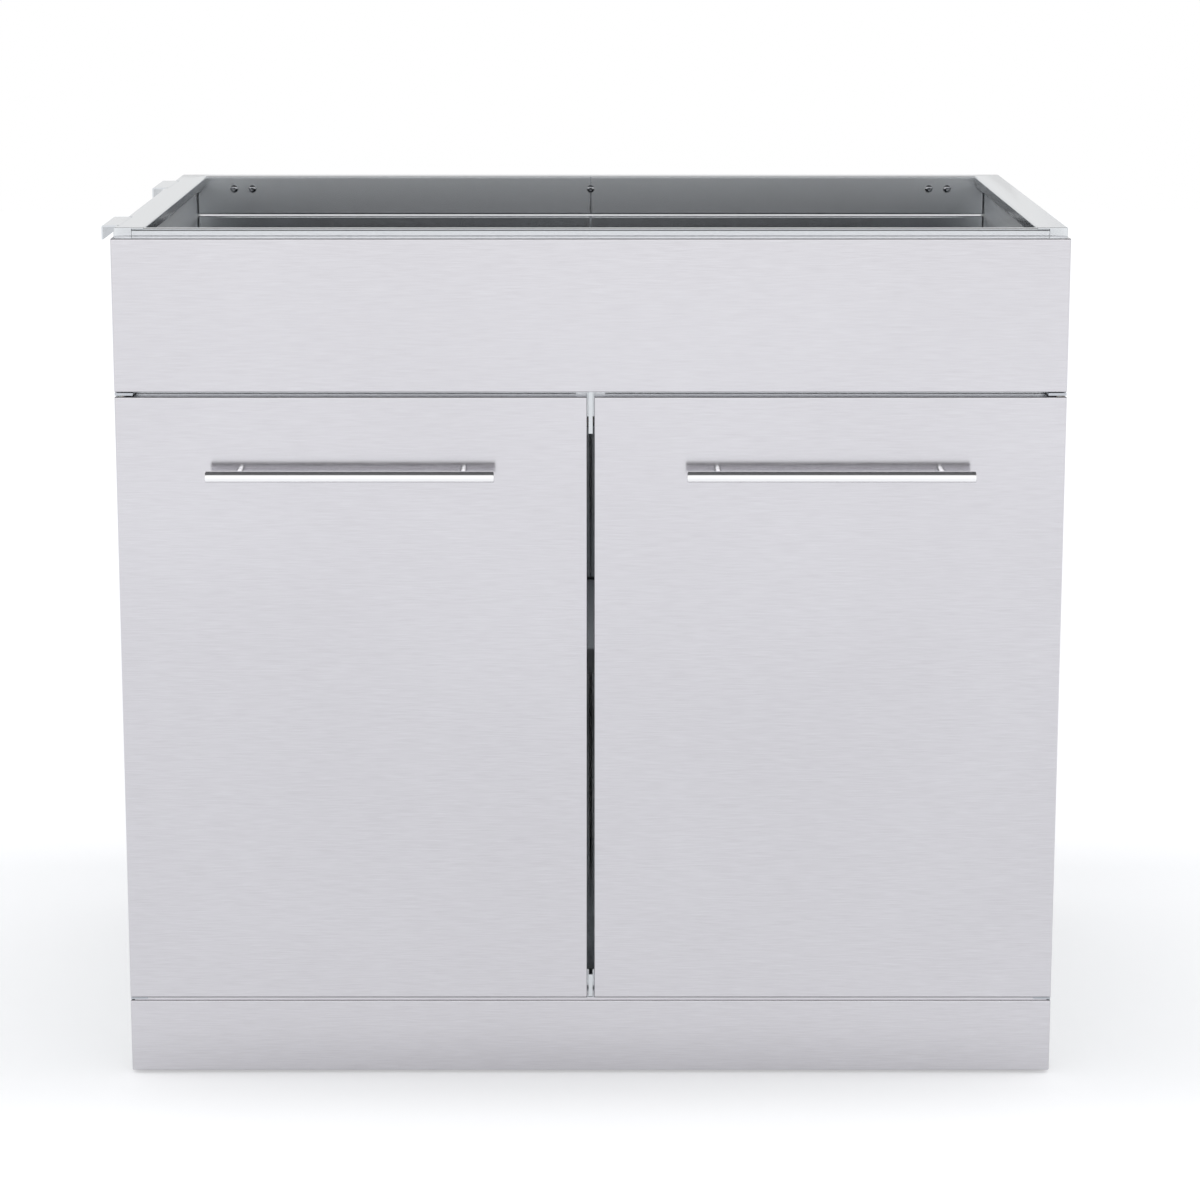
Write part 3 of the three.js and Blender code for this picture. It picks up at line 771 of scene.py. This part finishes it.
for side in ("left", "right"):
    for place in ("front", "rear"):
        dress(f"shelf_support_{place}_{side}", nylon)


# Joining hooks
# Two strips that step up through notches in the left side and fold down outside it, where they
# hold on to the next cupboard in a row.

hook_fold = 1.2 * mm
hook_height = 13.5 * mm

panel_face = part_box("side_panel_left")[0][0]
for place in ("front", "rear"):
    node = f"joining_hook_{place}"
    low, high = map(Vector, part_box(node))
    tip = low.x + hook_sheet / 2
    upper = high.z - hook_sheet / 2
    under = upper - sheet - fit
    hook = folded_strip(f"hook_{place}", [
        (tip, high.z - hook_height),
        (tip, upper),
        (panel_face + hook_step, upper),
        (panel_face + hook_step * 2, under),
        (high.x, under),
    ], hook_sheet, hook_fold, "y", low.y, high.y)
    hang(hook, rolled_along_y, "cold_rolled_stainless", "cabinet", node)


# Levelling feet
# Zinc plated feet screwed through nuts on angle brackets inside the base.

for side in ("left", "right"):
    for end in ("front", "rear"):
        dress(f"foot_bracket_{end}_{side}", zinc)
        dress(f"levelling_foot_{end}_{side}", zinc)


# Bolts
# Button head bolts that hold the rear rail and the sides together, just under the top flanges.
# They are turned from stainless bar: darker and glossier than the sheet, with fine turning marks.

bolt_radius = 4.2 * mm
bolt_height = 2.6 * mm
bolt_rim = 0.5 * mm
bolt_socket = 1.5 * mm
bolt_socket_depth = 1.4 * mm
bolt_crown = bolt_socket * 1.3
bolt_facets = 36
dome_steps = 8
socket_flat = math.radians(60)
bolt_drop = 13.3 * mm
rear_bolts = (-390.7, -370.7, 0, 370.7, 390.7)  # mm from the middle
side_bolts = {  # mm from the front
    "left": (165, 305, 338, 427, 559),
    "right": (186, 262, 298, 317, 433, 523),
}

bolt_steel = lined_stainless(
    "stainless_machined", "x", dark="#A2A4A8", pale="#B9BBBE", roughness=0.13, unevenness=0.03,
    spread=0, line_width=0.5 * mm, line_length=2 * mm, line_depth=0.001 * mm,
)


def bolt_head(name, centre, axis, direction):
    """A domed head with a short straight rim and a six sided socket."""
    def at(distance):
        place = Vector(centre)
        place[axis] += direction * distance
        return place

    rings = [round_section(at(rim), bolt_radius, axis, bolt_facets) for rim in (0, bolt_rim)]
    for step in range(1, dome_steps):
        angle = math.pi / 2 * step / dome_steps
        place = at(bolt_rim + (bolt_height - bolt_rim) * math.sin(angle))
        radius = max(bolt_radius * math.cos(angle), bolt_crown)
        rings.append(round_section(place, radius, axis, bolt_facets))
    for distance in (bolt_height, bolt_height - bolt_socket_depth):
        place = at(distance)
        ring = []
        for i, point in enumerate(round_section(place, 1, axis, bolt_facets)):
            turn = math.tau * i / bolt_facets % socket_flat - socket_flat / 2
            ring.append(place + (point - place) * bolt_socket / math.cos(turn))
        rings.append(ring)
    head = piece_from_rings(name, rings)
    head.data.materials.append(bolt_steel)
    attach(head, "cabinet")


panel_low, panel_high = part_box("side_panel_right")
middle_x = (panel_face + panel_high[0]) / 2
bolt_z = panel_high[2] - bolt_drop
front_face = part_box("fascia_panel")[0][1]
rail_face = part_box("back_top_rail_right")[0][1]
for i, offset in enumerate(rear_bolts):
    bolt_head(f"rear_bolt_{i}", (middle_x + offset * mm, rail_face, bolt_z), 1, -1)
for side, inner in (
    ("left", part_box("side_liner_left")[1][0]), ("right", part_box("side_liner_right")[0][0]),
):
    for i, offset in enumerate(side_bolts[side]):
        y = min(front_face + offset * mm, rail_face - bolt_radius * 2)
        bolt_head(f"side_bolt_{side}_{i}", (inner, y, bolt_z), 0, -sign_of(side))


# Camera
# It stands a little above the cupboard and looks down on it, as in the photograph.

camera_back = 3117 * mm
camera_height = 1166 * mm
camera_tilt = 10.84
camera_data = bpy.data.cameras.new("camera")
camera_data.sensor_width = 36
camera_data.lens = 100.2
camera_data.shift_x = 0.0078
camera_data.shift_y = -0.08
camera = bpy.data.objects.new("camera", camera_data)
camera.location = (middle_x, front_face - camera_back, camera_height)
camera.rotation_euler = (math.radians(90 - camera_tilt), 0, 0)
bpy.context.collection.objects.link(camera)
bpy.context.scene.camera = camera


# Studio
# A pale floor and a white surround, soft lamps in front, above and at both sides, and a grey
# ceiling that only reflections see, which gives the bars and the inside their dark tones. The
# floor glows less near the cupboard, a painted shade round it.

floor_half = 8
# The floor glows less near the middle than far out: painted shade round the cupboard, which also
# darkens the floor that the doors mirror.
floor_near, floor_far = 0.7, 3.6  # metres from the middle, between which the floor brightens
floor_lift_near, floor_lift_far = 0.3, 0.52  # how much brighter it looks there than it is lit
ceiling_low, ceiling_high = (-5, -2.5), (5, 3.5)
ceiling_height = 3
world_strength = 0.75


def flat_board(name, low_corner, high_corner, z, material):
    """One level face from corner to corner."""
    mesh = bpy.data.meshes.new(name)
    mesh.from_pydata([
        (low_corner[0], low_corner[1], z), (high_corner[0], low_corner[1], z),
        (high_corner[0], high_corner[1], z), (low_corner[0], high_corner[1], z),
    ], [], [(0, 1, 2, 3)])
    mesh.materials.append(material)
    board = bpy.data.objects.new(name, mesh)
    bpy.context.collection.objects.link(board)
    return board


def seen_directly(tree):
    """1 where a surface is seen by the camera, in a reflection or through glass."""
    path = add_node(tree, "ShaderNodeLightPath")
    mirrored = add_node(tree, "ShaderNodeMath", {
        0: path.outputs["Is Camera Ray"], 1: path.outputs["Is Glossy Ray"],
    }, operation="MAXIMUM").outputs["Value"]
    return add_node(tree, "ShaderNodeMath", {
        0: mirrored, 1: path.outputs["Is Transmission Ray"],
    }, operation="MAXIMUM").outputs["Value"]


def pale_floor():
    """Smooth white floor keeping the shadow; its glow, white far out, is painted shade near the
    middle.
    """
    material, tree = blank_material("studio_floor")
    matt = add_node(tree, "ShaderNodeBsdfDiffuse", {"Color": linear("#E6E6E6")})
    place = add_node(tree, "ShaderNodeTexCoord").outputs["Object"]
    distance = add_node(tree, "ShaderNodeVectorMath", {
        0: place,
    }, operation="LENGTH").outputs["Value"]
    # Dimmer near the middle: painted shade.
    lift = add_node(tree, "ShaderNodeMapRange", {
        "Value": distance, "From Min": floor_near, "From Max": floor_far,
        "To Min": floor_lift_near, "To Max": floor_lift_far,
    }, interpolation_type="SMOOTHSTEP").outputs["Result"]
    strength = add_node(tree, "ShaderNodeMath", {
        0: seen_directly(tree), 1: lift,
    }, operation="MULTIPLY").outputs["Value"]
    glow = add_node(tree, "ShaderNodeEmission", {"Strength": strength})
    both = add_node(tree, "ShaderNodeAddShader", {
        0: matt.outputs["BSDF"], 1: glow.outputs["Emission"],
    })
    add_node(tree, "ShaderNodeOutputMaterial", {"Surface": both.outputs["Shader"]})
    return material


def grey_ceiling():
    """Matt grey paint."""
    material, tree = blank_material("studio_ceiling")
    matt = add_node(tree, "ShaderNodeBsdfDiffuse", {"Color": linear("#767676")})
    add_node(tree, "ShaderNodeOutputMaterial", {"Surface": matt.outputs["BSDF"]})
    return material


def soft_lamp(name, place, aim, width, height, glow):
    """A wide soft box. Its glow is how bright its face looks, where 1 is white."""
    lamp_data = bpy.data.lights.new(name, "AREA")
    lamp_data.shape = "RECTANGLE"
    lamp_data.size = width
    lamp_data.size_y = height
    lamp_data.energy = glow * width * height
    lamp = bpy.data.objects.new(name, lamp_data)
    lamp.location = place
    lamp.rotation_euler = (Vector(aim) - Vector(place)).to_track_quat("-Z", "Y").to_euler()
    lamp.visible_camera = False
    bpy.context.collection.objects.link(lamp)
    return lamp


flat_board("studio_floor", (-floor_half, -floor_half), (floor_half, floor_half), 0, pale_floor())
ceiling = flat_board("studio_ceiling", ceiling_low, ceiling_high, ceiling_height, grey_ceiling())
ceiling.visible_camera = False
ceiling.visible_shadow = False
ceiling.visible_diffuse = False

world = bpy.data.worlds.new("studio_surround")
world.use_nodes = True
tree = world.node_tree
tree.nodes.clear()
seen = add_node(tree, "ShaderNodeBackground", {"Color": (1, 1, 1, 1), "Strength": 1})
lighting = add_node(tree, "ShaderNodeBackground", {
    "Color": linear("#F2F4F8"), "Strength": world_strength,
})
surround = add_node(tree, "ShaderNodeMixShader", {
    "Fac": seen_directly(tree), 1: lighting.outputs["Background"], 2: seen.outputs["Background"],
})
add_node(tree, "ShaderNodeOutputWorld", {"Surface": surround.outputs["Shader"]})
bpy.context.scene.world = world

soft_lamp("lamp_front", place=(0, -4.3, 0.85), aim=(0, 0, 0.85), width=7, height=1.6, glow=0.52)
soft_lamp("lamp_high", place=(0, -4.3, 1.45), aim=(0, 0, 0.83), width=7, height=0.6, glow=3)

# This one lights the floor from over the doors, and the shadow before the plinth comes from it.
over_y = front_face + 0.16
over_front = soft_lamp(
    "lamp_over_front", place=(0, over_y, 2.6), aim=(0, over_y, 0), width=8, height=0.32, glow=17,
)
over_front.visible_glossy = False
for side in ("left", "right"):
    soft_lamp(
        f"lamp_{side}", place=(4 * sign_of(side), 0, 1), aim=(0, 0, 0.6),
        width=2.4, height=1.8, glow=0.6,
    )

bpy.context.scene.view_settings.view_transform = "Standard"
